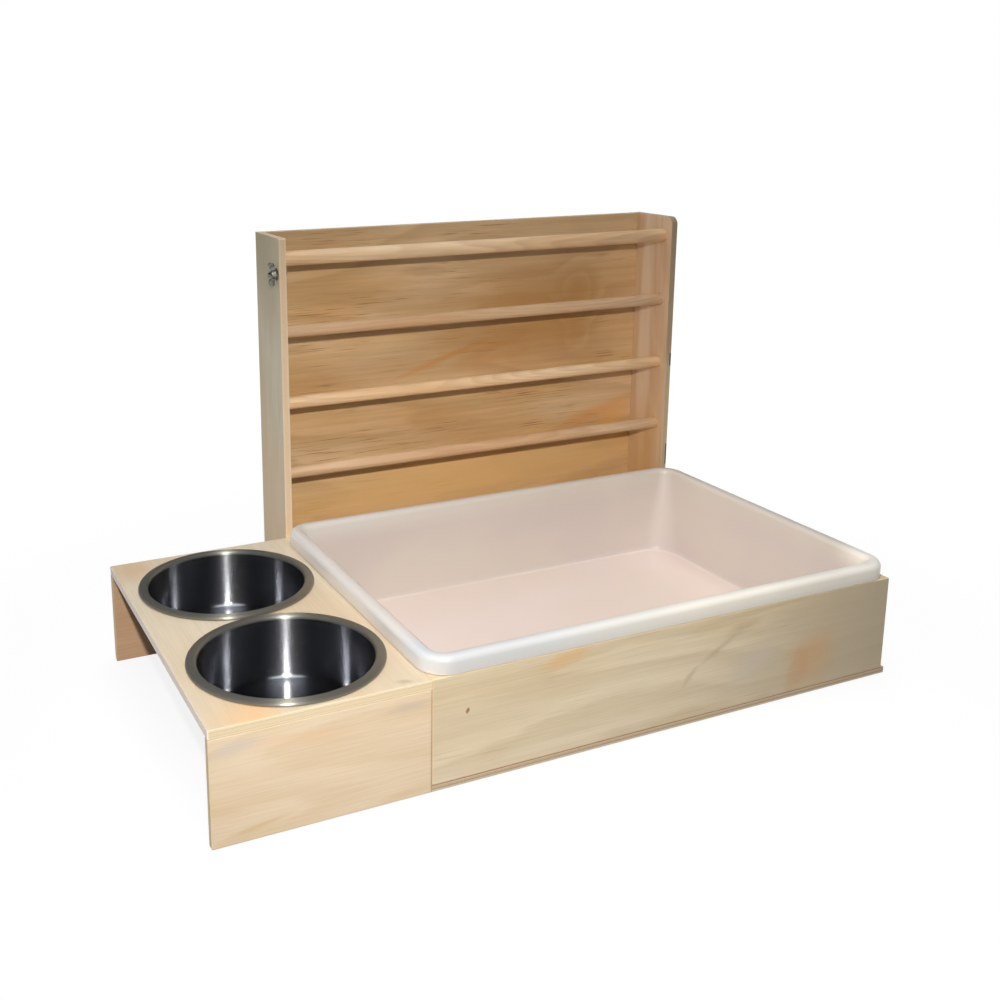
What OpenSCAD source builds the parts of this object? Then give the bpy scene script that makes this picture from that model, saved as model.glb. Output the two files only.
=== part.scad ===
// Hay feeder box for rabbits and guinea pigs: a plywood box that holds a lift-out litter tray,
// a hay rack with round rails behind it, and a low bench beside it with two lift-out steel bowls.
// Millimetres. +X runs along the front to the right, +Y to the back, +Z up.
// The origin is on the ground under the middle of the whole feeder.

/* [Box] */
// Width of the box that holds the litter tray, over its side panels
box_w = 384; // [300:1:440]
// Depth from the front of the box to the front edge of the hay rack
box_d = 272; // [240:1:340]
// Height of the low walls around the tray
wall_h = 78; // [66:1:110]
// Thickness of the plywood of the walls and the rack
panel_t = 6; // [5:0.5:9]
// Thickness of the base board
base_t = 5; // [3:0.5:8]
// How far the base board stands out at the right-hand end
base_overhang = 3; // [0:0.5:8]

/* [Hay rack] */
// Height of the rack's top edge above the ground
rack_h = 325.5; // [290:0.5:400]
// Depth of the rack from the front edge of its sides to its back
rack_d = 57.5; // [45:0.5:90]
// Radius of the top front corner of the left side, which is only eased
left_corner_r = 1.5; // [0.5:0.5:12]
// Radius of the top front corner of the right side
right_corner_r = 7; // [0.5:0.5:12]
// Diameter of the top rail, thicker than the others
top_rail_d = 12; // [8:0.5:13]
// Diameter of the other round rails
rail_d = 10.2; // [6:0.2:12]
// Distance from one rail to the next
rail_pitch = 59.5; // [42:0.5:62]
// Height from the top rail's middle to the rack's top edge
rail_drop = 17.5; // [12:0.1:25]
// Distance from the rack's front edge back to the rails' middle
rail_set_back = 13; // [7:0.5:16]
// Depth of the blind hole that holds each end of a rail
rail_socket = 4; // [2:0.5:4.5]
// Gap all round a rail in its blind hole
rail_fit = 0.05; // [0.02:0.01:0.1]

/* [Bowl bench] */
// Distance from the front bowl's rim to the bench's front edge
bench_front = 2.2; // [0.5:0.1:10]
// Distance from the rear bowl's rim to the bench's rear edge
bench_rear = 7; // [0.5:0.5:20]
// Distance from the bowls' rims to the bench's left edge, and to the box
bench_side = 7.3; // [2:0.1:25]
// Gap between the two bowls' rims
bowl_gap = 2; // [1:0.1:4]
// Thickness of the bench top
bench_t = 6.5; // [4:0.5:9]
// Thickness of the bench's front and rear legs
leg_t = 6; // [4:0.5:9]
// Gap all round a bowl in its hole
hole_gap = 1.2; // [0.6:0.1:2]

/* [Bowls] */
// Width of the rim around the bowl's mouth
rim_w = 8; // [7:0.5:10]
// Height of the rim's crown above the bench
rim_rise = 3; // [2.6:0.1:4]
// Radius of the roll at the rim's outer edge
roll_r = 1.3; // [1.2:0.1:1.6]
// Depth of the bowl below the bench top
bowl_depth = 43; // [25:1:50]
// Thickness of the steel
steel_t = 0.8; // [0.5:0.1:1]
// How much the bowl's radius shrinks from the rim down to the base
bowl_draft = 3; // [1:0.5:8]
// Radius between the bowl's wall and its base
bowl_base_r = 6; // [4:0.5:12]
// Radius of the raised disc in the bowl's base
bowl_disc_r = 32; // [15:1:36]
// Height of the raised disc in the bowl's base
bowl_disc_h = 1.2; // [0.5:0.1:2]

/* [Litter tray] */
// How far the tray's rim stands out over the box's sides
tray_overhang = 2.5; // [0:0.1:4]
// Gap between the tray and the side panels
tray_gap = 0.6; // [0.4:0.1:3]
// Gap between the tray's rim and the front edge of the rack
tray_back_gap = 1.5; // [0.5:0.5:3]
// Thickness of the tray's moulded wall
tray_wall = 1.8; // [1.2:0.1:2.2]
// Height of the rim above the box's walls
tray_rim_h = 12.5; // [10:0.5:16]
// Height of the tray's floor above the ground
tray_floor_z = 15; // [12:0.5:30]
// How far each wall leans in from the rim down to the floor
tray_draft = 4; // [2:0.5:10]
// Radius of the rim's corners, seen from above
tray_corner_r = 20; // [17:1:34]
// Radius of the floor's corners, seen from above
tray_floor_r = 26; // [16:1:36]
// Radius of the rim's outer top edge
tray_edge_r = 4.5; // [3:0.5:5]
// Radius of the rim's inner top edge
tray_lip_r = 4.5; // [3:0.5:5]
// Radius between the wall and the floor
tray_fillet_r = 4; // [2:0.5:8]
// Height that the rim's skirt hangs clear of the box's walls
skirt_lift = 0.5; // [0.3:0.1:2]
// Distance between the ribs that carry the rim
rib_pitch = 48; // [30:1:80]
// Thickness of a rib under the rim
rib_t = 1.6; // [1:0.1:2.5]

/* [Cage clamp] */
// Diameter of the clamp bolt
bolt_d = 4; // [3:0.5:5]
// Length of the bolt that stands out of the panel
bolt_out = 7.5; // [7.5:0.5:16]
// Distance from the rack's front edge back to the bolt
bolt_set_back = 6.5; // [6.5:0.5:20]
// Height from the bolt to the top rail's middle
bolt_drop = 11.2; // [11.2:0.1:24]
// Diameter of the bolt's domed head
bolt_head_d = 9; // [7:0.5:10]
// Height of the bolt's domed head
bolt_head_h = 2.2; // [1.5:0.1:3]
// Gap all round the bolt in the panel, the washer and the nut
bolt_fit = 0.05; // [0.03:0.01:0.1]
// Diameter of the washer
washer_d = 10; // [9:0.5:12]
// Thickness of the washer
washer_t = 1; // [0.5:0.1:1.5]
// Diameter of the wing nut's hub
hub_d = 7.5; // [7:0.5:9]
// Height of the wing nut's hub
hub_h = 4; // [3.5:0.5:6]
// Distance over the two wings
wing_span = 19; // [16:0.5:24]
// Height of the wings above the hub's foot
wing_h = 6; // [6:0.5:9]
// Thickness of a wing
wing_t = 1.6; // [1:0.1:2.5]
// Radius of a wing's rounded tip
wing_tip_r = 2.6; // [2:0.1:3]

/* [Hidden] */

// Colours of the real materials
pine_pale = [0.90, 0.82, 0.66];
pine_warm = [0.82, 0.64, 0.42];
pine_rail = [0.86, 0.70, 0.50];
steel = [0.75, 0.76, 0.77];
zinc = [0.66, 0.68, 0.66];
tray_white = [0.93, 0.92, 0.89];

$fn = 72;
over = 1; // how far a cutting shape reaches past what it cuts
rail_count = 4; // one node for each rail

// The bowls share out the bench's depth, which gives their size and the bench's width
rim_d = (box_d - bench_front - bench_rear - bowl_gap)/2;
rim_r = rim_d/2;
mouth_r = rim_r - rim_w;
hole_r = mouth_r + steel_t + hole_gap;
bench_w = rim_d + 2*bench_side;
bowl_x = -bench_w/2;
front_bowl_y = bench_front + rim_r;
rear_bowl_y = box_d - bench_rear - rim_r;

// The roll along a bowl's rim starts and ends at these angles, around its own middle
roll_start = 66;
roll_end = -174;

// Places that several pieces share
full_d = box_d + rack_d;
inner_w = box_w - 2*panel_t;
centre_x = (box_w + max(base_overhang, tray_overhang) - bench_w)/2;
centre_y = full_d/2;
rail_y = box_d + rail_set_back;
rail_len = inner_w + 2*rail_socket;
bolt_y = box_d + bolt_set_back;
bolt_z = rack_h - rail_drop - bolt_drop;
bolt_hole_r = bolt_d/2 + bolt_fit;

// The tray's rim reaches from outside the side panel to the inner face of the tray's wall
tray_rim_w = tray_overhang + panel_t + tray_gap + tray_wall;
tray_w = box_w + 2*tray_overhang;
tray_d = box_d - tray_back_gap;
tray_neck = tray_rim_h - max(tray_edge_r, tray_lip_r) - over; // where the rim's channel meets the wall below it

// Everything is drawn from the box's front left corner on the ground, and moved to the origin here.
module place() {
    translate([-centre_x, -centre_y, 0])
        children();
}

// A board that fills the box from one corner to the other
module board(from, to) {
    translate(from)
        cube(to - from);
}

// Turns what is drawn upright on the ground so that it lies along +X
module along_x() {
    rotate([0, 90, 0])
        children();
}

module base_board() {
    color(pine_pale)
        place()
            board([0, 0, 0], [box_w + base_overhang, full_d, base_t]);
}

module front_board() {
    color(pine_pale)
        place()
            board([0, 0, base_t], [box_w, panel_t, wall_h]);
}

// The board that closes the box behind the tray and carries the back of its rim
module cross_board() {
    color(pine_pale)
        place()
            board([panel_t, box_d - panel_t, base_t], [box_w - panel_t, box_d, wall_h]);
}

// Height and radius of rail number i, counted from the top
function rail_z(i) = rack_h - rail_drop - (i - 1)*rail_pitch;
function rail_r(i) = (i == 1 ? top_rail_d : rail_d)/2;

// Outline of a side, low beside the tray and tall at the rack: across is Y, up is Z
module side_outline(corner_r) {
    difference() {
        union() {
            translate([panel_t, base_t])
                square([full_d - panel_t, wall_h - base_t]);
            translate([box_d, base_t])
                square([rack_d, rack_h - base_t]);
        }
        difference() {
            translate([box_d - over, rack_h - corner_r])
                square(corner_r + over);
            translate([box_d + corner_r, rack_h - corner_r])
                circle(corner_r);
        }
    }
}

// One side with its blind rail holes, its outer face on X = 0 and its inner face towards +X
module side_panel(corner_r) {
    difference() {
        rotate([90, 0, 90])
            linear_extrude(panel_t)
                side_outline(corner_r);
        for (i = [1 : rail_count])
            translate([panel_t - rail_socket, rail_y, rail_z(i)])
                along_x()
                    cylinder(r = rail_r(i) + rail_fit, h = rail_socket + over);
    }
}

module left_side_panel() {
    color(pine_pale)
        place()
            difference() {
                side_panel(left_corner_r);
                translate([-over, bolt_y, bolt_z])
                    along_x()
                        cylinder(r = bolt_hole_r, h = panel_t + 2*over);
            }
}

module right_side_panel() {
    color(pine_pale)
        place()
            translate([box_w, 0, 0])
                mirror([1, 0, 0])
                    side_panel(right_corner_r);
}

module back_panel() {
    color(pine_warm)
        place()
            board([panel_t, full_d - panel_t, base_t], [box_w - panel_t, full_d, rack_h]);
}

// A round rail between the two sides, its ends in the blind holes
module hay_rail(i) {
    color(pine_rail)
        place()
            translate([panel_t - rail_socket, rail_y, rail_z(i)])
                along_x()
                    cylinder(r = rail_r(i), h = rail_len);
}

module bench_top() {
    color(pine_pale)
        place()
            difference() {
                board([-bench_w, 0, wall_h - bench_t], [0, box_d, wall_h]);
                for (y = [front_bowl_y, rear_bowl_y])
                    translate([bowl_x, y, wall_h - bench_t - over])
                        cylinder(r = hole_r, h = bench_t + 2*over);
            }
}

module bench_front_leg() {
    color(pine_pale)
        place()
            board([-bench_w, 0, 0], [0, leg_t, wall_h - bench_t]);
}

module bench_rear_leg() {
    color(pine_pale)
        place()
            board([-bench_w, box_d - leg_t, 0], [0, box_d, wall_h - bench_t]);
}

// Points on an arc around c with radius r, from angle a to angle b
function arc(c, r, a, b, steps) =
    [for (k = [0 : steps]) c + r*[cos(a + (b - a)*k/steps), sin(a + (b - a)*k/steps)]];

// A line moved sideways by d: each point goes square to the line between its two neighbours
function beside(line, d) =
    [for (i = [0 : len(line) - 1])
        let (step = line[min(i + 1, len(line) - 1)] - line[max(i - 1, 0)])
        line[i] + d*[-step[1], step[0]]/norm(step)];

function backwards(line) = [for (i = [len(line) - 1 : -1 : 0]) line[i]];

// Underside of the bowl's steel, from the middle of its base out to the roll that rests on the bench.
// Across is the radius, up is the height above the bench top.
function bowl_line() =
    let (
        side_r = mouth_r + steel_t,
        foot_r = side_r - bowl_draft,
        shoulder_r = rim_rise - steel_t,
        roll_x = rim_r - roll_r
    )
    concat(
        [[0, bowl_disc_h - bowl_depth], [bowl_disc_r - 2*bowl_disc_h, bowl_disc_h - bowl_depth]],
        [[bowl_disc_r - bowl_disc_h, bowl_disc_h/2 - bowl_depth], [bowl_disc_r, -bowl_depth]],
        arc([foot_r - bowl_base_r, bowl_base_r - bowl_depth], bowl_base_r, -90, 0, 6),
        arc([side_r + shoulder_r, 0], shoulder_r, 180, 90, 5),
        arc([roll_x, roll_r], roll_r - steel_t, roll_start, roll_end, 10)
    );

// One spun steel bowl: a shell turned from one bent strip, with a roll along its outer edge
module bowl(y) {
    color(steel)
        place()
            translate([bowl_x, y, wall_h])
                rotate_extrude($fn = 120)
                    polygon(concat(bowl_line(), backwards(beside(bowl_line(), steel_t))));
}

// The shape under the rim's top skin, inset by t: across is the distance from the rim's outer edge,
// up is the height above the box's walls
module rim_hump(t) {
    translate([tray_edge_r, tray_rim_h - tray_edge_r])
        circle(tray_edge_r - t);
    translate([tray_rim_w - tray_lip_r, tray_rim_h - tray_lip_r])
        circle(tray_lip_r - t);
    translate([tray_edge_r, 0])
        square([tray_rim_w - tray_edge_r - tray_lip_r, tray_rim_h - t]);
    translate([t, 0])
        square([tray_rim_w/2 - t, tray_rim_h - tray_edge_r]);
    translate([tray_rim_w/2, 0])
        square([tray_rim_w/2 - t, tray_rim_h - tray_lip_r]);
}

// Section of the rolled rim: a channel open below, with a skirt outside and a short leg inside
module rim_channel() {
    difference() {
        rim_hump(0);
        rim_hump(tray_wall);
        translate([-over, -over])
            square([tray_rim_w, over + skirt_lift]);
        translate([tray_rim_w/2, -over])
            square([tray_rim_w, over + tray_neck]);
    }
}

// Each side of the tray in turn, drawn along +X with the outside at -Y: gives $length to what is drawn
module tray_sides() {
    for (k = [0 : 3])
        translate([k == 1 || k == 2 ? tray_w : 0, k >= 2 ? tray_d : 0, 0])
            rotate(90*k) {
                $length = k % 2 == 0 ? tray_w : tray_d;
                children();
            }
}

// The rim's straight stretch and the corner at its start
module tray_rim() {
    tray_sides() {
        translate([tray_corner_r, 0, 0])
            rotate([90, 0, 90])
                linear_extrude($length - 2*tray_corner_r)
                    rim_channel();
        translate([tray_corner_r, tray_corner_r, 0])
            rotate(180)
                rotate_extrude(angle = 90)
                    translate([tray_corner_r, 0])
                        mirror([1, 0])
                            rim_channel();
    }
}

// Ribs across the channel, whose feet rest on the box's walls
module tray_ribs() {
    tray_sides() {
        spaces = floor(($length - 2*tray_corner_r)/rib_pitch);
        for (j = [0 : spaces])
            translate([$length/2 + (j - spaces/2)*rib_pitch - rib_t/2, 0, 0])
                rotate([90, 0, 90])
                    linear_extrude(rib_t)
                        rim_hump(tray_wall/2);
    }
}

// Level slices of the tray's basin with its skin moved out by t, each as [height, inset, corner radius].
// The corners open out from the rim to the floor, as on a pressed tray.
function basin_slices(t, raise) =
    let (
        foot = tray_rim_w + tray_draft + tray_fillet_r,
        r = tray_fillet_r + t,
        neck_z = wall_h + tray_neck
    )
    concat(
        [for (z = [neck_z + raise, neck_z]) [z, tray_rim_w - t, tray_corner_r - tray_rim_w + t]],
        [for (a = [0 : 15 : 90])
            [tray_floor_z + tray_fillet_r - r*sin(a), foot - r*cos(a), tray_floor_r - tray_fillet_r + r*cos(a)]]
    );

// A thin level sheet with rounded corners, inset from the rim's outer edge
module basin_sheet(inset, r) {
    w = tray_w - 2*inset;
    d = tray_d - 2*inset;
    translate([inset, inset, 0])
        linear_extrude(0.01) {
            translate([r, 0])
                square([w - 2*r, d]);
            translate([0, r])
                square([w, d - 2*r]);
            for (x = [r, w - r], y = [r, d - r])
                translate([x, y])
                    circle(r, $fn = 32);
        }
}

module basin(t, raise) {
    hull()
        for (s = basin_slices(t, raise))
            translate([0, 0, s[0]])
                basin_sheet(s[1], s[2]);
}

module litter_tray() {
    color(tray_white)
        place()
            translate([-tray_overhang, 0, 0]) {
                translate([0, 0, wall_h]) {
                    tray_rim();
                    tray_ribs();
                }
                difference() {
                    basin(tray_wall, 0);
                    basin(0, over);
                }
            }
}

// What turns on or passes through the left side of the rack: +Z here points out of the panel
module at_clamp() {
    place()
        translate([0, bolt_y, bolt_z])
            rotate([0, -90, 0])
                children();
}

// The bolt, with its domed head inside the rack
module clamp_bolt() {
    dome_r = (pow(bolt_head_d/2, 2) + pow(bolt_head_h, 2))/(2*bolt_head_h);
    color(zinc)
        at_clamp() {
            translate([0, 0, -panel_t])
                cylinder(d = bolt_d, h = panel_t + bolt_out);
            intersection() {
                translate([0, 0, -panel_t - bolt_head_h + dome_r])
                    sphere(dome_r);
                translate([0, 0, -panel_t - bolt_head_h])
                    cylinder(d = bolt_head_d, h = bolt_head_h);
            }
        }
}

module clamp_washer() {
    color(zinc)
        at_clamp()
            difference() {
                cylinder(d = washer_d, h = washer_t);
                translate([0, 0, -over])
                    cylinder(r = bolt_hole_r, h = washer_t + 2*over);
            }
}

// Outline of one wing, seen square to the bolt: a rounded tip that a web joins to the hub
module wing_outline() {
    tip = [wing_span/2 - wing_tip_r, wing_h - wing_tip_r];
    hull() {
        translate(tip)
            circle(wing_tip_r);
        translate([hub_d/4, wing_t/2])
            square([hub_d/4, hub_h - wing_t]);
    }
}

module wing_nut() {
    color(zinc)
        at_clamp()
            translate([0, 0, washer_t])
                difference() {
                    union() {
                        cylinder(d1 = hub_d, d2 = hub_d - wing_t, h = hub_h);
                        for (side = [0, 1])
                            mirror([side, 0, 0])
                                translate([0, wing_t/2, 0])
                                    rotate([90, 0, 0])
                                        linear_extrude(wing_t)
                                            wing_outline();
                    }
                    translate([0, 0, -over])
                        cylinder(r = bolt_hole_r, h = wing_h + 2*over);
                }
}

base_board();
front_board();
cross_board();
left_side_panel();
right_side_panel();
back_panel();
hay_rail(1);  // hay_rail_1
hay_rail(2);  // hay_rail_2
hay_rail(3);  // hay_rail_3
hay_rail(4);  // hay_rail_4
bench_top();
bench_front_leg();
bench_rear_leg();
bowl(front_bowl_y);  // front_bowl
bowl(rear_bowl_y);  // rear_bowl
litter_tray();
clamp_bolt();
clamp_washer();
wing_nut();
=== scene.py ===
import math

import bmesh
import bpy
from mathutils import Matrix, Vector


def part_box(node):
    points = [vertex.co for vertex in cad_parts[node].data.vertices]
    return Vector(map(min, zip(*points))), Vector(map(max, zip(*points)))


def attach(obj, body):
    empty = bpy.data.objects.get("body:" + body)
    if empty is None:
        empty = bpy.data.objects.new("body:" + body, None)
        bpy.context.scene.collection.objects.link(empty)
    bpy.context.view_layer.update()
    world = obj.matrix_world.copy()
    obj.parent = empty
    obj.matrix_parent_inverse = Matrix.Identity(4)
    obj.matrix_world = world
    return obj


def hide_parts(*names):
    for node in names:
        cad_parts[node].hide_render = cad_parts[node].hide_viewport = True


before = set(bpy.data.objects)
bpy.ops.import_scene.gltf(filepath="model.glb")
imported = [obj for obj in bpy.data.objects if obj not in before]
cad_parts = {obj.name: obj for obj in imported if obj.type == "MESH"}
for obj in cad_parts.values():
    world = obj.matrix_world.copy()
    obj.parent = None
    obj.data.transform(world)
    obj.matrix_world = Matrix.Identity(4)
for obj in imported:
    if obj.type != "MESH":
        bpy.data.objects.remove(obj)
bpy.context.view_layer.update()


# The camera stands in front of the feeder and to its left, a little above the rack's top edge, and looks down
# on it. The shift only puts the feeder where the photograph has it.

def turn(degrees, axis):
    return Matrix.Rotation(math.radians(degrees), 4, axis)


camera = bpy.data.objects.new("camera", bpy.data.cameras.new("camera"))
camera.data.sensor_width = 36
camera.data.lens = 42.61
camera.data.shift_x = 0.115
camera.data.shift_y = -0.128
camera.matrix_world = (
    Matrix.Translation((-0.4244, -0.76975, 0.4310)) @ turn(-24.196, "Z") @ turn(77.045, "X") @ turn(-0.307, "Z"))
bpy.context.scene.collection.objects.link(camera)
bpy.context.scene.camera = camera
bpy.context.scene.view_settings.view_transform = "Standard"


# The studio: one small lamp close above the camera, which throws the rails' crisp shadows and the streaks in the
# bowls, soft lights overhead, behind and on both sides, and a white sweep of floor that keeps a faint shadow.
# The steel sees a dark room with a lit patch overhead and a halo round the lamp, above a white floor.

def put(tree, kind, wires=None, **settings):
    """Adds a shader node. Each wire is a plain value or the socket that feeds it."""
    node = tree.nodes.new("ShaderNode" + kind)
    for name, value in settings.items():
        setattr(node, name, value)
    for name, value in (wires or {}).items():
        if isinstance(value, bpy.types.NodeSocket):
            tree.links.new(value, node.inputs[name])
        else:
            node.inputs[name].default_value = value
    return node


def sums(tree, operation, *values):
    """One step of arithmetic on plain values or sockets."""
    return put(tree, "Math", dict(enumerate(values)), operation=operation).outputs[0]


def length_of(tree, vector):
    """The length of a vector socket."""
    return put(tree, "VectorMath", {0: vector}, operation="LENGTH").outputs["Value"]


def ramp(tree, value, low, high, to_low=0.0, to_high=1.0):
    """A smooth step from to_low to to_high, as the value goes from low to high."""
    node = put(tree, "MapRange", {"Value": value, "From Min": low, "From Max": high,
                                  "To Min": to_low, "To Max": to_high}, interpolation_type="SMOOTHSTEP")
    return node.outputs["Result"]


def tint(tree, factor, below, above, blend="MIX"):
    """Mixes two colours or their sockets: 0 gives the first and 1 the second."""
    return put(tree, "Mix", {0: factor, 6: below, 7: above}, data_type="RGBA", blend_type=blend).outputs[2]


lamp = bpy.data.objects.new("lamp", bpy.data.lights.new("lamp", "SPOT"))
lamp.data.spot_size = math.radians(60)
lamp.data.spot_blend = 1.0
lamp.data.shadow_soft_size = 0.012
lamp.data.energy = 31.5
lamp.data.color = (1.0, 0.955, 0.90)
lamp.location = (-0.43, -0.80, 0.555)
lamp.rotation_euler = (Vector((0.02, -0.02, -0.01)) - lamp.location).to_track_quat("-Z", "Y").to_euler()
bpy.context.scene.collection.objects.link(lamp)

world = bpy.data.worlds.new("studio")
bpy.context.scene.world = world
world.use_nodes = True
sky = world.node_tree
sky.nodes.clear()
way = put(sky, "TexCoord").outputs["Generated"]


def toward(direction, low, high):
    """How closely the sky lies in a direction, as a smooth step between two cosines."""
    cosine = put(sky, "VectorMath", {0: way, 1: direction}, operation="DOT_PRODUCT").outputs["Value"]
    return ramp(sky, cosine, low, high)


white = (1, 1, 1, 1)
overhead, round_lamp = (-0.152, -0.444, 0.883), (-0.270, -0.786, 0.556)
fill = tint(sky, toward((0, 0, 1), 0.84, 0.985), (0.016, 0.017, 0.020, 1), (2.9, 3.0, 3.25, 1))
fill = tint(sky, toward((-1, 0, 0), 0.84, 0.985), fill, (2.4, 2.45, 2.65, 1))
fill = tint(sky, toward((1, 0, 0), 0.84, 0.985), fill, (1.9, 1.95, 2.05, 1))
fill = tint(sky, toward((0, 1, 0), 0.50, 0.90), fill, (0.90, 0.92, 0.96, 1))
room = tint(sky, toward((0, 0, 1), -0.02, 0.08), white, (0.002, 0.0025, 0.0035, 1))
room = tint(sky, toward(overhead, 0.93, 0.985), room, (2.6, 2.65, 2.75, 1))
room = tint(sky, toward(round_lamp, 0.9970, 0.9988), room, (40, 40, 40, 1))
ray = put(sky, "LightPath").outputs
seen = sums(sky, "MAXIMUM", ray["Is Camera Ray"], ray["Is Transmission Ray"])
backdrop = tint(sky, seen, tint(sky, ray["Is Glossy Ray"], fill, room), white)
put(sky, "OutputWorld", {"Surface": put(sky, "Background", {"Color": backdrop}).outputs[0]})

floor_drop = 0.0004  # keeps the floor clear of the boards that stand on it
sweep = bmesh.new()
bmesh.ops.create_circle(sweep, cap_ends=True, segments=64, radius=3.0)
floor = bpy.data.objects.new("floor", bpy.data.meshes.new("floor"))
sweep.to_mesh(floor.data)
sweep.free()
bpy.context.scene.collection.objects.link(floor)
floor.location.z = -floor_drop
paper = bpy.data.materials.new("white sweep")
paper.use_nodes = True
tree = paper.node_tree
tree.nodes.clear()
ray = put(tree, "LightPath").outputs
seen = sums(tree, "MAXIMUM", ray["Is Camera Ray"], ray["Is Transmission Ray"])
seen = sums(tree, "MAXIMUM", seen, ray["Is Glossy Ray"])
# The camera and the steel see it white, faintly shaded near the feeder. To the wood it is a dim grey, so that it
# throws little light upwards.
away = length_of(tree, put(tree, "TexCoord").outputs["Object"])
shaded = put(tree, "BsdfDiffuse", {"Color": tint(tree, seen, (0.12, 0.12, 0.12, 1), (0.8, 0.8, 0.8, 1))}).outputs[0]
glow = put(tree, "Emission", {"Color": white, "Strength": 1.06}).outputs[0]
near = put(tree, "MixShader", {0: ramp(tree, away, 0.3, 0.8, 0.80, 1.0), 1: shaded, 2: glow}).outputs[0]
put(tree, "OutputMaterial", {"Surface": put(tree, "MixShader", {0: seen, 1: shaded, 2: near}).outputs[0]})
floor.data.materials.append(paper)


# The base board carries the box and the rack. Like all the boards it is bare pine plywood, peeled veneers glued
# crosswise, cut square, its edges just eased with sandpaper so that each joint shows as a fine line.

def group(name, inputs, outputs):
    """A shader node group with named sockets."""
    tree = bpy.data.node_groups.new(name, "ShaderNodeTree")
    for label, kind, value in inputs:
        tree.interface.new_socket(label, in_out="INPUT", socket_type="NodeSocket" + kind).default_value = value
    for label, kind in outputs:
        tree.interface.new_socket(label, in_out="OUTPUT", socket_type="NodeSocket" + kind)
    return tree, tree.nodes.new("NodeGroupInput").outputs, tree.nodes.new("NodeGroupOutput")


def paint(red, green, blue):
    """A colour in a screen's steps from 0 to 255, turned into the linear values that a shader takes."""
    def linear(c):
        c /= 255
        return c / 12.92 if c <= 0.04045 else ((c + 0.055) / 1.055) ** 2.4
    return (linear(red), linear(green), linear(blue), 1.0)


def axis_of(tree, vector, axis):
    """One coordinate of a vector socket."""
    return put(tree, "SeparateXYZ", {"Vector": vector}).outputs[axis]


def stretched(tree, vector, scale, offset=(0, 0, 0)):
    """A vector socket scaled, then shifted by the offset."""
    return put(tree, "Mapping", {"Vector": vector, "Scale": scale, "Location": offset}).outputs[0]


def noise(tree, vector, detail=2.0, roughness=0.5):
    """A cloudy pattern from 0 to 1, one cloud to each unit of the vector."""
    wires = {"Vector": vector, "Scale": 1.0, "Detail": detail, "Roughness": roughness}
    return put(tree, "TexNoise", wires).outputs[0]


# Peeled pine: X runs along the grain, Y across it and Z into the wood, in metres
veneer, given, result = group(
    "pine veneer",
    [("Vector", "Vector", (0, 0, 0)), ("Pale", "Color", paint(232, 212, 178)), ("Warm", "Color", paint(222, 188, 142)),
     ("Dark", "Color", paint(176, 138, 94)), ("Knot", "Vector", (9, 9, 0)), ("Figure", "Float", 0.3),
     ("Rings", "Float", 11.0), ("Dashes", "Float", 0.3)],
    [("Color", "Color"), ("Height", "Float")])
grain = given["Vector"]
# The yearly rings are contour lines of a slowly drifting surface, bent round the knot
drift = noise(veneer, stretched(veneer, grain, (2.2, 13, 30)), 1.5, 0.45)
swirl = put(veneer, "VectorMath", {0: grain, 1: given["Knot"]}, operation="SUBTRACT").outputs[0]
swirl = ramp(veneer, length_of(veneer, stretched(veneer, swirl, (44, 27, 170))), 0.0, 1.6, 0.20, 0.0)
across = axis_of(veneer, grain, "Y")
wander = noise(veneer, stretched(veneer, grain, (18, 60, 60)), 2.0)
contour = sums(veneer, "ADD", sums(veneer, "ADD", drift, swirl), sums(veneer, "MULTIPLY", across, 1.6))
contour = sums(veneer, "ADD", sums(veneer, "MULTIPLY", contour, given["Rings"]),
               sums(veneer, "MULTIPLY", wander, 0.55))
year = sums(veneer, "FRACT", contour)
late = sums(veneer, "MULTIPLY", ramp(veneer, year, 0.10, 0.80), ramp(veneer, year, 0.82, 1.0, 1.0, 0.0))
# Warm clouds, fine fibres and streaks, and short resin dashes that lie in patches
patch = ramp(veneer, noise(veneer, stretched(veneer, grain, (4.5, 13, 20), (3, 1, 7)), 2.0), 0.40, 0.68)
fibre = noise(veneer, stretched(veneer, grain, (22, 950, 950)), 3.0, 0.6)
streak = noise(veneer, stretched(veneer, grain, (5, 170, 170), (5, 2, 1)), 4.0, 0.6)
fleck = noise(veneer, stretched(veneer, grain, (24, 1000, 900), (1, 8, 2)), 2.0)
where = ramp(veneer, noise(veneer, stretched(veneer, grain, (9, 30, 9), (7, 3, 3)), 2.0), 0.46, 0.60)
fleck = sums(veneer, "MULTIPLY", ramp(veneer, fleck, 0.57, 0.70), where)
# Pale wood first, then all of these over it
shade = tint(veneer, patch, given["Pale"], given["Warm"])
shade = tint(veneer, sums(veneer, "MULTIPLY", late, given["Figure"]), shade, given["Dark"])
shade = tint(veneer, ramp(veneer, streak, 0.35, 0.75, 0.0, 0.30), shade, given["Warm"])
shade = tint(veneer, sums(veneer, "MULTIPLY", fleck, given["Dashes"]), shade, given["Dark"])
coarse = sums(veneer, "MULTIPLY", ramp(veneer, streak, 0.36, 0.64, 0.065, -0.065), given["Dashes"])
light = sums(veneer, "ADD", ramp(veneer, fibre, 0.3, 0.7, 0.95, 1.04), coarse)
light = put(veneer, "CombineColor", {0: light, 1: light, 2: light}).outputs[0]
shade = tint(veneer, 1.0, shade, light, "MULTIPLY")
bumps = sums(veneer, "SUBTRACT", sums(veneer, "MULTIPLY", fibre, 0.6), sums(veneer, "MULTIPLY", fleck, 0.5))
veneer.links.new(shade, result.inputs["Color"])
veneer.links.new(bumps, result.inputs["Height"])

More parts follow.
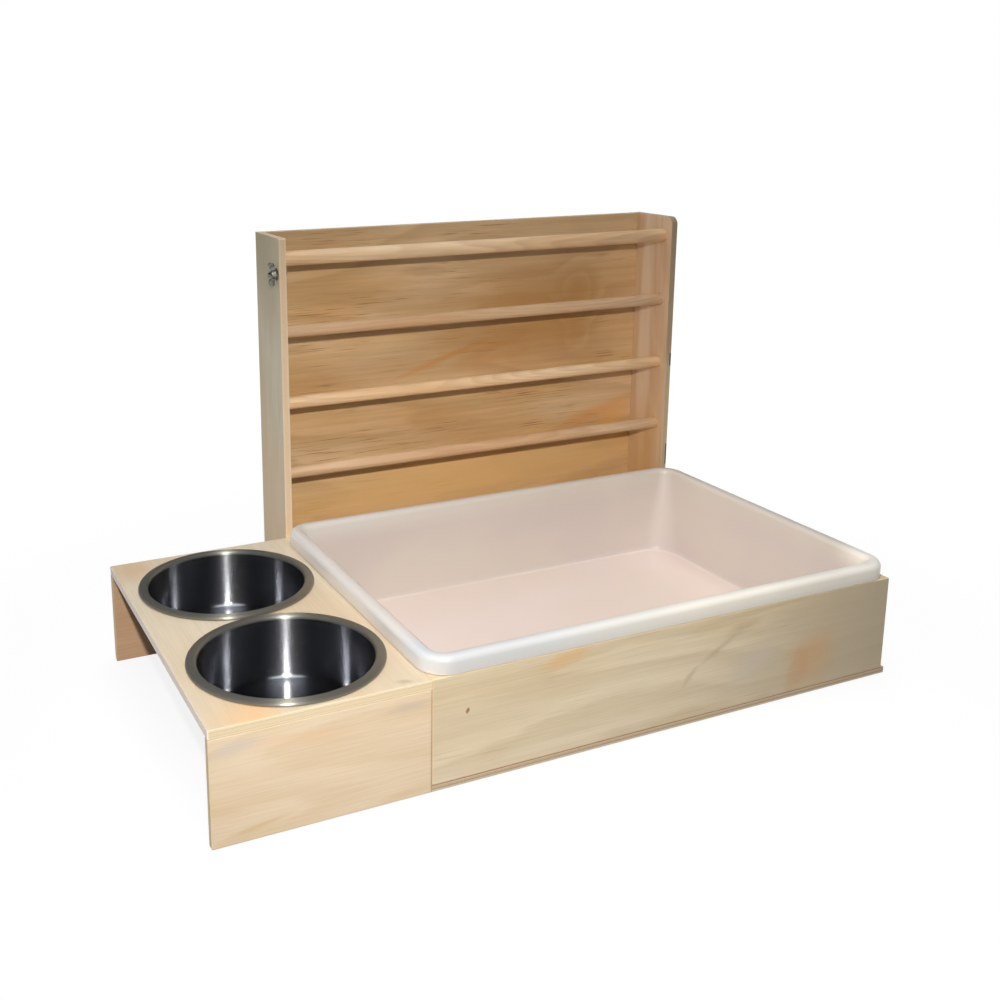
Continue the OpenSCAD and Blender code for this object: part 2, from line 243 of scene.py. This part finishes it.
# The edge of plywood: the core veneer shows its end grain, between fine brown glue lines
edge, given, result = group(
    "plywood edge",
    [("Vector", "Vector", (0, 0, 0)), ("Depth", "Float", 0.5), ("Outer", "Color", paint(236, 214, 176)),
     ("Core", "Color", paint(228, 204, 166)), ("Glue", "Color", paint(142, 106, 72)), ("Pores", "Float", 0.18),
     ("Lines", "Float", 0.35)],
    [("Color", "Color"), ("Height", "Float")])
wave = noise(edge, stretched(edge, given["Vector"], (60, 60, 60)), 2.0)
depth = sums(edge, "ADD", given["Depth"], sums(edge, "MULTIPLY", sums(edge, "SUBTRACT", wave, 0.5), 0.10))
middle = sums(edge, "ABSOLUTE", sums(edge, "SUBTRACT", depth, 0.5))
pores = noise(edge, stretched(edge, given["Vector"], (700, 700, 700)), 2.0, 0.7)
line = noise(edge, stretched(edge, given["Vector"], (40, 40, 900)), 2.0, 0.6)
glue_line, glue_wide, fade = 0.215, 0.035, 0.015
core = tint(edge, sums(edge, "MULTIPLY", ramp(edge, pores, 0.40, 0.62), given["Pores"]), given["Core"], given["Glue"])
outer = tint(edge, ramp(edge, line, 0.35, 0.75, 0.0, 0.35), given["Outer"], given["Core"])
shade = tint(edge, ramp(edge, middle, glue_line - fade, glue_line + fade), core, outer)
glue = ramp(edge, sums(edge, "ABSOLUTE", sums(edge, "SUBTRACT", middle, glue_line)), 0.0, glue_wide, 1.0, 0.0)
shade = tint(edge, sums(edge, "MULTIPLY", glue, given["Lines"]), shade, given["Glue"])
edge.links.new(shade, result.inputs["Color"])
edge.links.new(pores, result.inputs["Height"])

# A soft patch of another tone, such as a knot, a resin streak or a smudge
spot, given, result = group(
    "patch",
    [("Vector", "Vector", (0, 0, 0)), ("Centre", "Vector", (0, 0, 0)), ("Size", "Vector", (1, 1, 1)),
     ("Turn", "Float", 0.0), ("Softness", "Float", 0.6)],
    [("Mask", "Float")])
off = put(spot, "VectorMath", {0: given["Vector"], 1: given["Centre"]}, operation="SUBTRACT").outputs[0]
off = put(spot, "VectorRotate", {"Vector": off, "Angle": given["Turn"]}, rotation_type="Z_AXIS").outputs[0]
off = put(spot, "VectorMath", {0: off, 1: given["Size"]}, operation="DIVIDE").outputs[0]
ragged = sums(spot, "SUBTRACT", noise(spot, stretched(spot, off, (1.3, 1.3, 1.3)), 3.0), 0.5)
reach = sums(spot, "ADD", length_of(spot, off), sums(spot, "MULTIPLY", ragged, 0.9))
inner = sums(spot, "SUBTRACT", 1.0, given["Softness"])
spot.links.new(ramp(spot, reach, inner, 1.0, 1.0, 0.0), result.inputs["Mask"])


def use(tree, inner, wires):
    """Places a shader node group."""
    return put(tree, "Group", wires, node_tree=inner)


def finish(name, **plain):
    """A material with its Principled shader. The plain values are the same all over the surface."""
    material = bpy.data.materials.new(name)
    material.use_nodes = True
    shader = material.node_tree.nodes["Principled BSDF"]
    for label, value in plain.items():
        shader.inputs[label.replace("_", " ")].default_value = value
    return material, material.node_tree, shader


def plywood(name, node, axes, patches=(), marks=(), shown=0, **tones):
    """Plywood for one board. axes names the board's own axes along the grain, across it and through the board.
    The patches lie on the face at the low end of the third axis, or at its high end where shown is 1. Each is
    (along, across, half length, half width, turn, softness, colour, strength), in millimetres from the board's
    lowest corner. Each mark on the board's edges is (along, across, half length, half width, from depth, to depth,
    colour, strength), with the depth from 0 to 1 through the board."""
    material, tree, shader = finish(name, Roughness=0.62, Specular_IOR_Level=0.35)
    low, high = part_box(node)
    place = put(tree, "TexCoord").outputs
    at = put(tree, "VectorMath", {0: place["Object"], 1: low}, operation="SUBTRACT").outputs[0]
    at = put(tree, "CombineXYZ", {i: axis_of(tree, at, a) for i, a in enumerate(axes)}).outputs[0]
    through = "XYZ".index(axes[2])
    depth = sums(tree, "DIVIDE", axis_of(tree, at, "Z"), high[through] - low[through])
    flat = ramp(tree, sums(tree, "ABSOLUTE", axis_of(tree, place["Normal"], axes[2])), 0.70, 0.90)
    edge_tones = {k: tones.pop(k) for k in ("Outer", "Core", "Glue", "Pores", "Lines") if k in tones}
    seed = tones.pop("Seed")
    start = (seed, seed * 0.37, 0)
    if "Knot" in tones:
        tones["Knot"] = [k + s for k, s in zip(tones["Knot"], start)]
    face = use(tree, veneer, {"Vector": stretched(tree, at, (1, 1, 1), start), **tones})
    shade = face.outputs["Color"]
    sheet = ramp(tree, depth, 0.4, 0.6, 1 - shown, shown)
    for along, wide, length, width, angle, softness, colour, strength in patches:
        mask = use(tree, spot, {"Vector": at, "Centre": (along / 1000, wide / 1000, 0),
                                "Size": (length / 1000, width / 1000, 1), "Turn": math.radians(-angle),
                                "Softness": softness}).outputs["Mask"]
        shade = tint(tree, sums(tree, "MULTIPLY", sums(tree, "MULTIPLY", mask, sheet), strength), shade, colour)
    cut = use(tree, edge, {"Vector": at, "Depth": depth, **edge_tones})
    trim, blur = cut.outputs["Color"], 0.04
    for along, wide, length, width, lowest, highest, colour, strength in marks:
        mask = use(tree, spot, {"Vector": at, "Centre": (along / 1000, wide / 1000, 0),
                                "Size": (length / 1000, width / 1000, 1), "Softness": 0.3}).outputs["Mask"]
        band = sums(tree, "MULTIPLY", ramp(tree, depth, lowest - blur, lowest + blur),
                    ramp(tree, depth, highest - blur, highest + blur, strength, 0.0))
        trim = tint(tree, sums(tree, "MULTIPLY", mask, band), trim, colour)
    tree.links.new(tint(tree, flat, trim, shade), shader.inputs["Base Color"])
    relief = put(tree, "Mix", {0: flat, 2: cut.outputs["Height"], 3: face.outputs["Height"]})
    bump = put(tree, "Bump", {"Height": relief.outputs[0], "Strength": 0.35, "Distance": 0.0002})
    tree.links.new(bump.outputs[0], shader.inputs["Normal"])
    return material


def eased(node, body, material, width=0.0005):
    """The CAD board with its sharp edges sanded round."""
    board = bpy.data.objects.new(node + "_eased", bpy.data.meshes.new(node + "_eased"))
    bpy.context.scene.collection.objects.link(board)
    mesh = bmesh.new()
    mesh.from_mesh(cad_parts[node].data)
    bmesh.ops.remove_doubles(mesh, verts=mesh.verts, dist=0.000005)
    bmesh.ops.dissolve_limit(mesh, angle_limit=math.radians(0.5), verts=mesh.verts, edges=mesh.edges)
    sharp = [e for e in mesh.edges if len(e.link_faces) == 2 and e.calc_face_angle() > math.radians(40)]
    bmesh.ops.bevel(mesh, geom=sharp, offset=width, offset_type="OFFSET", segments=2, profile=0.5,
                    affect="EDGES", material=-1, clamp_overlap=True)
    mesh.to_mesh(board.data)
    mesh.free()
    board.data.materials.append(material)
    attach(board, body)
    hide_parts(node)
    return board


eased("base_board", "feeder", plywood(
    "base plywood", "base_board", "XYZ",
    marks=[(190, 0, 900, 6, 0.84, 0.97, paint(140, 88, 58), 0.8),
           (190, 0, 900, 6, 0.36, 0.46, paint(150, 120, 92), 0.6)],
    Seed=1.3, Outer=paint(222, 206, 178), Core=paint(208, 188, 158), Lines=0.1))


# The front board hides the tray's side. Its veneer runs from a yellowish left end to a greyer right end, partly
# its own tone and partly painted shade, darker where the lamp's light weakens, with a resin stain near the right, a
# slanting vein beside it and one small pin knot near the left. The cross board closes the box behind the tray.

eased("front_board", "feeder", plywood(
    "front plywood", "front_board", "XZY",
    [(384, 30, 210, 140, 0, 0.9, paint(199, 184, 156), 0.8),
     (256, 28, 36, 22, 20, 0.9, paint(214, 204, 190), 0.5),
     (312, 22, 36, 30, 34, 0.9, paint(218, 174, 122), 0.6),
     (299, 16, 12, 26, -14, 0.6, paint(208, 160, 110), 0.25),
     (246, 60, 22, 7, 10, 0.9, paint(176, 152, 108), 0.32),
     (226, 48, 28, 4, 28, 1.0, paint(160, 144, 108), 0.32),
     (201, 32, 13, 4, 46, 1.0, paint(160, 144, 108), 0.32),
     (98, 67, 26, 7, 8, 0.8, paint(228, 186, 134), 0.7),
     (25, 46.5, 1.6, 2.6, -20, 0.5, paint(150, 112, 62), 0.9)],
    Seed=2.1, Pale=paint(234, 219, 190), Warm=paint(223, 203, 166), Dark=paint(176, 148, 104), Figure=0.22))

eased("cross_board", "feeder", plywood("cross plywood", "cross_board", "XZY", Seed=3.4))


# The two sides are one board each, low beside the tray and tall at the rack. The rails' ends sit in blind holes
# in them. The right one's front edge has two gaps in its core veneer, as cheap plywood has.

eased("left_side_panel", "feeder", plywood(
    "left side plywood", "left_side_panel", "ZYX",
    # The top is painted a darker olive and the lower part warmer and lighter: painted shade above, painted light below
    [(320, 300, 110, 80, 0, 0.9, paint(172, 160, 124), 0.75),
     (90, 300, 120, 80, 0, 0.9, paint(226, 198, 158), 0.6)],
    Seed=4.2, Pale=paint(218, 209, 183), Warm=paint(212, 195, 165), Dark=paint(180, 163, 131), Figure=0.12,
    Outer=paint(236, 213, 180), Core=paint(234, 208, 173), Pores=0.05, Lines=0.10))
eased("right_side_panel", "feeder", plywood(
    "right side plywood", "right_side_panel", "ZYX",
    [(200, 300, 170, 12, 0, 0.5, paint(232, 212, 186), 0.55),
     # A golden glow painted low down near the back: painted reflected light
     (80, 292, 80, 40, 0, 0.9, paint(216, 168, 104), 0.6)],
    [(280, 266, 110, 9, -1.0, 2.0, paint(152, 130, 104), 0.55),
     (188, 266, 7, 9, 0.70, 2.0, paint(70, 62, 48), 0.9),
     (96, 266, 12, 9, 0.72, 2.0, paint(70, 62, 48), 0.9)],
    Seed=5.7, Pale=paint(218, 191, 158), Warm=paint(209, 176, 138), Dark=paint(182, 141, 102), Figure=0.20,
    Outer=paint(206, 186, 154), Core=paint(200, 178, 144), Pores=0.08, Lines=0.12))


# The rack's back is one board of warmer, knottier plywood, with a golden arched figure, short dark resin
# ducts and a knot's swirl near its right end.

eased("back_panel", "feeder", plywood(
    "rack back plywood", "back_panel", "XZY",
    [(306, 250, 17, 24, 0, 0.9, paint(170, 128, 84), 0.35),
     (306, 208, 20, 14, 0, 0.9, paint(160, 116, 72), 0.40),
     (215, 194, 62, 13, 5, 0.9, paint(210, 152, 86), 0.40),
     (170, 200, 75, 5, 16, 0.9, paint(206, 142, 64), 0.60),
     (225, 206, 45, 5, 2, 0.9, paint(200, 138, 66), 0.50),
     (290, 250, 70, 60, 0, 0.9, paint(166, 114, 58), 0.25),
     (350, 122, 36, 20, 20, 0.9, paint(226, 164, 84), 0.50),
     (330, 130, 70, 10, 14, 0.9, paint(218, 150, 74), 0.50),
     # These two patches and the last paint the panel darker across its upper part and lighter and more golden low
     # down: painted shade above, painted light below
     (255, 214, 125, 62, 0, 0.9, paint(180, 126, 60), 0.55),
     (262, 240, 175, 78, 0, 0.9, paint(180, 134, 76), 0.64),
     (180, 80, 330, 52, 0, 0.9, paint(244, 200, 134), 0.80)],
    Seed=6.1, Pale=paint(220, 190, 148), Warm=paint(212, 172, 118), Dark=paint(150, 104, 60), Figure=0.26,
    Dashes=0.85, Knot=(0.306, 0.240, 0), Rings=9.0))


# Four round rails keep the hay in the rack. They are turned rods of plain smooth wood, glued into blind holes in
# the sides. The top one is the thickest. The first and third are painted paler: partly a paler wood, partly a
# painted highlight for the brighter sheen they show.

def shaft(mesh, radius, length, segments=40, chamfer=0.0004):
    """A round rod along +Z from the origin, its ends eased."""
    made = bmesh.ops.create_cone(mesh, cap_ends=True, segments=segments, radius1=radius, radius2=radius,
                                 depth=length, matrix=Matrix.Translation((0, 0, length / 2)))["verts"]
    rims = [e for e in {e for v in made for e in v.link_edges}
            if e.calc_face_angle() > math.radians(60)]
    bmesh.ops.bevel(mesh, geom=rims, offset=chamfer, segments=2, profile=0.5, affect="EDGES", material=-1)


def piece(name, mesh, body, slot, material, *nodes, smooth=30):
    """Makes a finished object of a mesh, smooth except at edges sharper than smooth degrees."""
    made = bpy.data.objects.new(name, bpy.data.meshes.new(name))
    bpy.context.scene.collection.objects.link(made)
    for face in mesh.faces:
        face.smooth = True
    for line in mesh.edges:
        line.smooth = len(line.link_faces) == 2 and line.calc_face_angle() < math.radians(smooth)
    mesh.to_mesh(made.data)
    mesh.free()
    made.data.materials.append(material)
    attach(made, body)
    if nodes:
        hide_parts(*nodes)
    return made


for number in (1, 2, 3, 4):
    pale = number in (1, 3)
    material, tree, shader = finish(f"rail wood {number}", Roughness=0.40, Specular_IOR_Level=0.6)
    at = stretched(tree, put(tree, "TexCoord").outputs["Object"], (1, 1, 1), (number * 0.7, number * 0.31, 0))
    wood = use(tree, veneer, {
        "Vector": at, "Pale": paint(246, 214, 172) if pale else paint(224, 190, 150),
        "Warm": paint(238, 196, 146) if pale else paint(212, 170, 126), "Dark": paint(176, 128, 84),
        "Figure": 0.22, "Rings": 30.0, "Dashes": 0.25})
    tree.links.new(wood.outputs["Color"], shader.inputs["Base Color"])
    bump = put(tree, "Bump", {"Height": wood.outputs["Height"], "Strength": 0.25, "Distance": 0.0001})
    tree.links.new(bump.outputs[0], shader.inputs["Normal"])
    low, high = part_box(f"hay_rail_{number}")
    rod = bmesh.new()
    shaft(rod, (high.z - low.z) / 2, high.x - low.x)
    bmesh.ops.transform(rod, verts=rod.verts, matrix=Matrix.Translation(
        (low.x, (low.y + high.y) / 2, (low.z + high.z) / 2)) @ turn(90, "Y"))
    piece(f"hay_rail_{number}_turned", rod, "feeder", "rail_wood", material, f"hay_rail_{number}")


# The bench stands beside the box: a top with two round holes on a front and a rear leg, of paler plywood.
# The top's front left corner has a peach tone, and there is a thumb smudge at its front right corner.

eased("bench_top", "feeder", plywood(
    "bench top plywood", "bench_top", "YXZ",
    [(10, 30, 42, 26, 20, 0.9, paint(236, 192, 140), 0.75),
     (258, 12, 34, 26, 0, 0.9, paint(214, 184, 144), 0.8),
     (6, 128, 3.5, 8, 20, 0.8, paint(176, 152, 110), 0.5)],
    # Along the top's left edge: a near-white line, a painted highlight, and a dark line at its lower corner, painted
    # shadow under the edge
    [(136, 0, 700, 0.9, -1.0, 2.0, paint(255, 242, 230), 0.9),
     (136, 0, 700, 0.9, -1.0, 0.05, paint(44, 36, 38), 0.6)],
    shown=1, Seed=7.9, Pale=paint(221, 207, 181), Warm=paint(219, 198, 166), Dark=paint(206, 176, 130), Figure=0.10,
    Dashes=0.1, Outer=paint(240, 224, 192), Core=paint(238, 218, 182), Pores=0.05, Lines=0.35))
eased("bench_front_leg", "feeder", plywood(
    "bench front plywood", "bench_front_leg", "XZY",
    [(50, 60, 60, 8, -4, 0.9, paint(236, 196, 150), 0.35),
     (16, 63, 26, 7, 4, 1.0, paint(212, 206, 206), 0.5),
     (128, 63, 22, 6, 0, 1.0, paint(202, 190, 176), 0.5),
     (28, 8, 30, 3, 8, 0.9, paint(214, 176, 118), 0.45),
     (144.6, 36, 1.0, 90, 0, 0.5, paint(150, 114, 88), 0.55)],
    Seed=8.3, Pale=paint(238, 220, 192), Warm=paint(235, 210, 176), Dark=paint(212, 178, 128), Figure=0.22,
    Dashes=0.1))
eased("bench_rear_leg", "feeder", plywood(
    "bench rear plywood", "bench_rear_leg", "XZY", Seed=9.6,
    Pale=paint(224, 186, 150), Warm=paint(216, 172, 134), Dark=paint(178, 136, 100), Figure=0.12, Dashes=0.1))


# Each bowl is spun from one disc of stainless steel, with a rolled rim that hangs on the bench, straight sides
# and a raised disc in its base. The lathe left fine rings, which draw each light out into upright streaks.

def arc(across, up, radius, start, end, steps):
    """Points on an arc in the plane of a turned outline, in millimetres."""
    turns = [math.radians(start + (end - start) * k / steps) for k in range(steps + 1)]
    return [(across + radius * math.cos(a), up + radius * math.sin(a)) for a in turns]


def turned(mesh, outline, segments=48, closed=True):
    """Spins an outline of (radius, height) in millimetres round Z."""
    dots = [mesh.verts.new((r / 1000, 0, h / 1000)) for r, h in outline]
    lines = [mesh.edges.new(pair) for pair in zip(dots, dots[1:] + (dots[:1] if closed else []))]
    bmesh.ops.spin(mesh, geom=dots + lines, angle=math.tau, steps=segments, axis=(0, 0, 1), cent=(0, 0, 0),
                   use_merge=True)
    bmesh.ops.remove_doubles(mesh, verts=mesh.verts, dist=0.000002)
    bmesh.ops.recalc_face_normals(mesh, faces=mesh.faces)


bench_level, rim_rise, steel_thick = 0.0780, 0.0030, 0.0008
steel, tree, shader = finish("spun steel", Anisotropic=0.97, Anisotropic_Rotation=0.25)
at = put(tree, "TexCoord").outputs["Object"]
smear = noise(tree, stretched(tree, at, (30, 30, 30)), 3.0, 0.6)
rim = ramp(tree, axis_of(tree, at, "Z"), bench_level, bench_level + 0.0018)
# The rolled rim is a warmer grey than the inside, and duller
inside = tint(tree, ramp(tree, smear, 0.3, 0.7), paint(152, 154, 158), paint(144, 146, 152))
tree.links.new(tint(tree, rim, inside, paint(146, 144, 134)), shader.inputs["Base Color"])
tree.links.new(sums(tree, "SUBTRACT", 1.0, sums(tree, "MULTIPLY", rim, 0.30)), shader.inputs["Metallic"])
polish = ramp(tree, smear, 0.3, 0.75, 0.222, 0.230)
tree.links.new(sums(tree, "ADD", polish, sums(tree, "MULTIPLY", rim, 0.19)), shader.inputs["Roughness"])
rings = noise(tree, stretched(tree, at, (2, 2, 2600)), 2.0, 0.6)
bump = put(tree, "Bump", {"Height": rings, "Strength": 0.12, "Distance": 0.00003})
tree.links.new(bump.outputs[0], shader.inputs["Normal"])
tree.links.new(put(tree, "Tangent", direction_type="RADIAL", axis="Z").outputs[0], shader.inputs["Tangent"])

# From the raised disc's middle over the foot, up the side and round the rolled rim, above the bench's top
skin = ([(0, -41.0), (28.6, -41.0)] + arc(28.6, -42.0, 1.0, 90, 40, 3) + arc(31.2, -41.2, 1.0, 220, 270, 3)
        + [(40, -42.2)] + arc(49.4, -37.0, 5.2, -90, 0, 8) + [(56.0, -25.0), (57.1, -12.5)]
        + arc(59.9, 1.1, 1.9, 180, 92, 9) + arc(63.9, 1.3, 1.3, 70, -174, 14))
for node, body in (("front_bowl", "bowl_front"), ("rear_bowl", "bowl_rear")):
    low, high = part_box(node)
    bowl = bmesh.new()
    turned(bowl, skin, 128, closed=False)
    base = [f for f in bowl.faces if abs(f.normal.z) > 0.9 and f.calc_center_median().xy.length < 0.02]
    if base[0].normal.z < 0:
        bmesh.ops.reverse_faces(bowl, faces=bowl.faces)
    bmesh.ops.solidify(bowl, geom=bowl.faces[:], thickness=steel_thick)
    bmesh.ops.recalc_face_normals(bowl, faces=bowl.faces)
    bmesh.ops.translate(bowl, verts=bowl.verts, vec=((low.x + high.x) / 2, (low.y + high.y) / 2, high.z - rim_rise))
    piece(node + "_spun", bowl, body, "steel", steel, node)


# The litter tray lifts out of the box. It is one pressing of milky plastic: a rolled rim with a skirt that
# covers the box's edges, ribs under the rim, leaning walls and a flat floor with wide soft corners.

low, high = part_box("litter_tray")
middle = (low + high) / 2
long, wide = high.x - low.x, high.y - low.y


def rounded(mesh, inset, height, corner, steps=10):
    """One level loop with rounded corners, as far inside the tray's outline as inset, all in millimetres."""
    inset, height, corner = inset / 1000, height / 1000, corner / 1000
    dots = []
    for side in range(4):
        x = (high.x - inset - corner) if side in (0, 3) else (low.x + inset + corner)
        y = (high.y - inset - corner) if side in (0, 1) else (low.y + inset + corner)
        for k in range(steps + 1):
            a = math.radians(90 * side + 90 * k / steps)
            dots.append(mesh.verts.new((x + corner * math.cos(a), y + corner * math.sin(a), height)))
    return [mesh.edges.new(pair) for pair in zip(dots, dots[1:] + dots[:1])]


# From the skirt's foot over the rim and down the wall to the floor: inset, height and corner radius
skirt_foot, skirt_top, rim_top, wall_top, floor_top = 78.5, 82.0, 90.5, 85.0, 15.0
rim_wide, rim_corner, rim_round, crown = 10.9, 20.0, 4.5, 0.04
wall_lean, foot_round, floor_corner = 4.0, 4.0, 26.0
quarter = [math.radians(15 * k) for k in range(7)]
path = [(0, skirt_foot, rim_corner), (0, skirt_top, rim_corner)]
path += [(rim_round * (1 - math.cos(a)), rim_top - crown - rim_round * (1 - math.sin(a)),
          rim_corner - rim_round * (1 - math.cos(a))) for a in quarter]
path += [(rim_wide - rim_round * (1 - math.sin(a)), rim_top - rim_round * (1 - math.cos(a)),
          rim_corner - rim_wide + rim_round * (1 - math.sin(a))) for a in quarter]
path += [(rim_wide + wall_lean * k / 8, wall_top - (wall_top - floor_top - foot_round) * k / 8,
          rim_corner - rim_wide + (floor_corner - rim_corner + rim_wide) * k / 8) for k in range(1, 8)]
path += [(rim_wide + wall_lean + foot_round * (1 - math.cos(a)), floor_top + foot_round * (1 - math.sin(a)),
          floor_corner - foot_round * (1 - math.cos(a))) for a in quarter]
tray = bmesh.new()
loops = [rounded(tray, *step) for step in path]
for outer, inner in zip(loops, loops[1:]):
    bmesh.ops.bridge_loops(tray, edges=outer + inner)
bottom = bmesh.ops.contextual_create(tray, geom=loops[-1])["faces"]
bmesh.ops.recalc_face_normals(tray, faces=tray.faces)
if bottom[0].normal.z < 0:
    bmesh.ops.reverse_faces(tray, faces=tray.faces)
bmesh.ops.inset_region(tray, faces=bottom, thickness=0.003)
plastic_thick = 0.0018
bmesh.ops.solidify(tray, geom=tray.faces[:], thickness=plastic_thick)
rib_size, rib_pitch, rib_set_in, rib_height = (0.0016, 0.0088, 0.0100), 0.048, 0.0054, 0.0831
for side in range(4):
    run, across = (long, wide) if side % 2 == 0 else (wide, long)
    count = int((run - 2 * rim_corner / 1000) / rib_pitch)
    for k in range(count + 1):
        rib = bmesh.ops.create_cube(tray, size=1)["verts"]
        bmesh.ops.scale(tray, verts=rib, vec=rib_size)
        bmesh.ops.translate(tray, verts=rib, vec=((k - count / 2) * rib_pitch, rib_set_in - across / 2, rib_height))
        bmesh.ops.rotate(tray, verts=rib, matrix=Matrix.Rotation(math.radians(90 * side), 3, "Z"))
        bmesh.ops.translate(tray, verts=rib, vec=(middle.x, middle.y, 0))

milky, tree, shader = finish("milky plastic", Roughness=0.34, Specular_IOR_Level=0.5, Coat_Weight=0.15,
                             Coat_Roughness=0.12)
at = put(tree, "TexCoord").outputs["Object"]
up = axis_of(tree, put(tree, "TexCoord").outputs["Normal"], "Z")
cloud = noise(tree, stretched(tree, at, (9, 9, 14)), 2.0, 0.5)
# The walls are painted darker and pinker than the floor, picked by which way each face turns: painted shade, and the
# wood's warm light seen through the plastic painted in
wall = tint(tree, ramp(tree, cloud, 0.35, 0.65), paint(213, 201, 195), paint(217, 207, 197))
base = tint(tree, ramp(tree, cloud, 0.3, 0.7), paint(238, 222, 212), paint(236, 220, 205))
basin = tint(tree, ramp(tree, up, 0.6, 0.95), wall, base)
# The rim runs from a cool, dim tone on its left to a warm, bright one on its right, most of all along the front:
# partly its own tone, partly painted shade on the left and painted light on the right
aside = ramp(tree, axis_of(tree, at, "X"), -0.10, 0.14)
front = ramp(tree, axis_of(tree, at, "Y"), -0.110, -0.150)
rim = tint(tree, front, tint(tree, aside, paint(222, 217, 209), paint(214, 205, 192)),
           tint(tree, aside, paint(206, 211, 214), paint(255, 250, 235)))
rim = tint(tree, ramp(tree, cloud, 0.3, 0.7, 0.0, 0.4), rim, paint(222, 217, 208))
tree.links.new(tint(tree, ramp(tree, axis_of(tree, at, "Z"), 0.070, 0.0865), basin, rim), shader.inputs["Base Color"])
dimple = noise(tree, stretched(tree, at, (900, 900, 900)), 2.0, 0.6)
bump = put(tree, "Bump", {"Height": dimple, "Strength": 0.08, "Distance": 0.0001})
tree.links.new(bump.outputs[0], shader.inputs["Normal"])
piece("litter_tray_pressed", tray, "tray", "tray_plastic", milky, "litter_tray", smooth=40)


# The cage clamp, near the top of the rack's left side: a zinc-plated machine bolt with a domed head inside the
# rack, a washer, and a wing nut that draws a cage's wire against the wood.

zinc, tree, shader = finish("zinc plating", Metallic=1.0, Roughness=0.35)
at = put(tree, "TexCoord").outputs["Object"]
haze = noise(tree, stretched(tree, at, (400, 400, 400)), 3.0, 0.6)
tree.links.new(tint(tree, ramp(tree, haze, 0.35, 0.7), paint(140, 138, 128), paint(98, 96, 88)),
               shader.inputs["Base Color"])
tree.links.new(ramp(tree, haze, 0.3, 0.75, 0.26, 0.46), shader.inputs["Roughness"])
bump = put(tree, "Bump", {"Height": haze, "Strength": 0.15, "Distance": 0.0001})
tree.links.new(bump.outputs[0], shader.inputs["Normal"])

low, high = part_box("clamp_washer")
clamp = Matrix.Translation((high.x, (low.y + high.y) / 2, (low.z + high.z) / 2)) @ turn(-90, "Y")

# The thread is a three-sided ridge wound up the shank, closed at both ends
turns, pitch, steps = 16, 0.0007, 20
bolt = bmesh.new()
turned(bolt, [(0, -8.2), (2.0, -8.05), (3.4, -7.4), (4.2, -6.6), (4.5, -6.0), (1.75, -6.0), (1.75, 7.1), (1.45, 7.4),
              (0, 7.4)], 32, closed=False)
thread = [bolt.verts.new((r / 1000, 0, h / 1000)) for r, h in ((1.72, -5.5), (2.0, -5.1), (1.72, -4.7))]
ridge = [bolt.edges.new(pair) for pair in zip(thread, thread[1:] + thread[:1])]
wound = bmesh.ops.spin(bolt, geom=thread + ridge, angle=math.tau * turns, steps=turns * steps, axis=(0, 0, 1),
                       cent=(0, 0, 0), dvec=(0, 0, pitch / steps))
for end in (ridge, [g for g in wound["geom_last"] if isinstance(g, bmesh.types.BMEdge)]):
    bmesh.ops.contextual_create(bolt, geom=end)
bmesh.ops.recalc_face_normals(bolt, faces=bolt.faces)
bmesh.ops.transform(bolt, verts=bolt.verts, matrix=clamp)
piece("clamp_bolt_threaded", bolt, "feeder", "zinc", zinc, "clamp_bolt")

washer = bmesh.new()
turned(washer, [(2.05, 0), (4.8, 0), (5.0, 0.2), (5.0, 0.75), (4.75, 1.0), (2.3, 1.0), (2.05, 0.8)])
bmesh.ops.transform(washer, verts=washer.verts, matrix=clamp)
piece("clamp_washer_pressed", washer, "washer", "zinc", zinc, "clamp_washer")

# Each wing is the skin drawn round one large and two small discs
wing_thick = 0.0016
nut = bmesh.new()
turned(nut, [(2.05, 1.2), (2.4, 1.0), (3.5, 1.0), (3.75, 1.25), (3.1, 4.7), (2.8, 5.0), (2.35, 5.0), (2.05, 4.7)])
for side in (-1, 1):
    wing = []
    for across, up, radius in ((6.9, 4.4, 2.6), (3.2, 2.6, 1.1), (2.9, 3.9, 0.6)):
        wing += bmesh.ops.create_cone(nut, cap_ends=True, segments=24, radius1=radius / 1000, radius2=radius / 1000,
                                      depth=wing_thick, matrix=Matrix.Translation(
                                          (side * across / 1000, 0, up / 1000)) @ turn(90, "X"))["verts"]
    hull = bmesh.ops.convex_hull(nut, input=wing)
    spare = {g for g in hull["geom_interior"] + hull["geom_unused"] if isinstance(g, bmesh.types.BMVert)}
    bmesh.ops.delete(nut, geom=list(spare), context="VERTS")
bmesh.ops.dissolve_limit(nut, angle_limit=math.radians(1), verts=nut.verts, edges=nut.edges)
bmesh.ops.recalc_face_normals(nut, faces=nut.faces)
bmesh.ops.transform(nut, verts=nut.verts, matrix=clamp)
piece("wing_nut_cast", nut, "nut", "zinc", zinc, "wing_nut")
